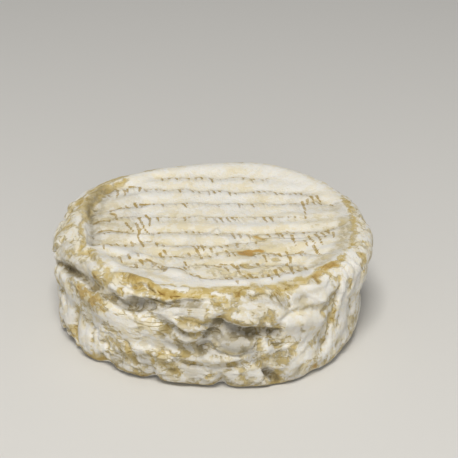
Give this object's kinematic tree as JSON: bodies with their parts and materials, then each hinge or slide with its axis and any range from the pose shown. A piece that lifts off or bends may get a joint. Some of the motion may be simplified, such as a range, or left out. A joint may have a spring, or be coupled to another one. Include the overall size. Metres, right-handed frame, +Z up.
{
  "type": "cheese wheel",
  "caption": "Small soft-ripened cheese wheel, a low drum with a raised mottled rim, a sunken top with mat rows and folded, sagging sides, standing flat",
  "frame": {"origin": "on the surface the wheel rests on, under the middle of its bounding box", "axes": "+Z up through the thickness; -Y is the side with the deepest folds; +X is the wheel's right seen from that side"},
  "size_m": [0.1072, 0.1096, 0.0345],
  "materials": {
    "rind": "matte"
  },
  "bodies": {
    "root": {"cheese_wheel": "rind"}
  },
  "joints": []
}
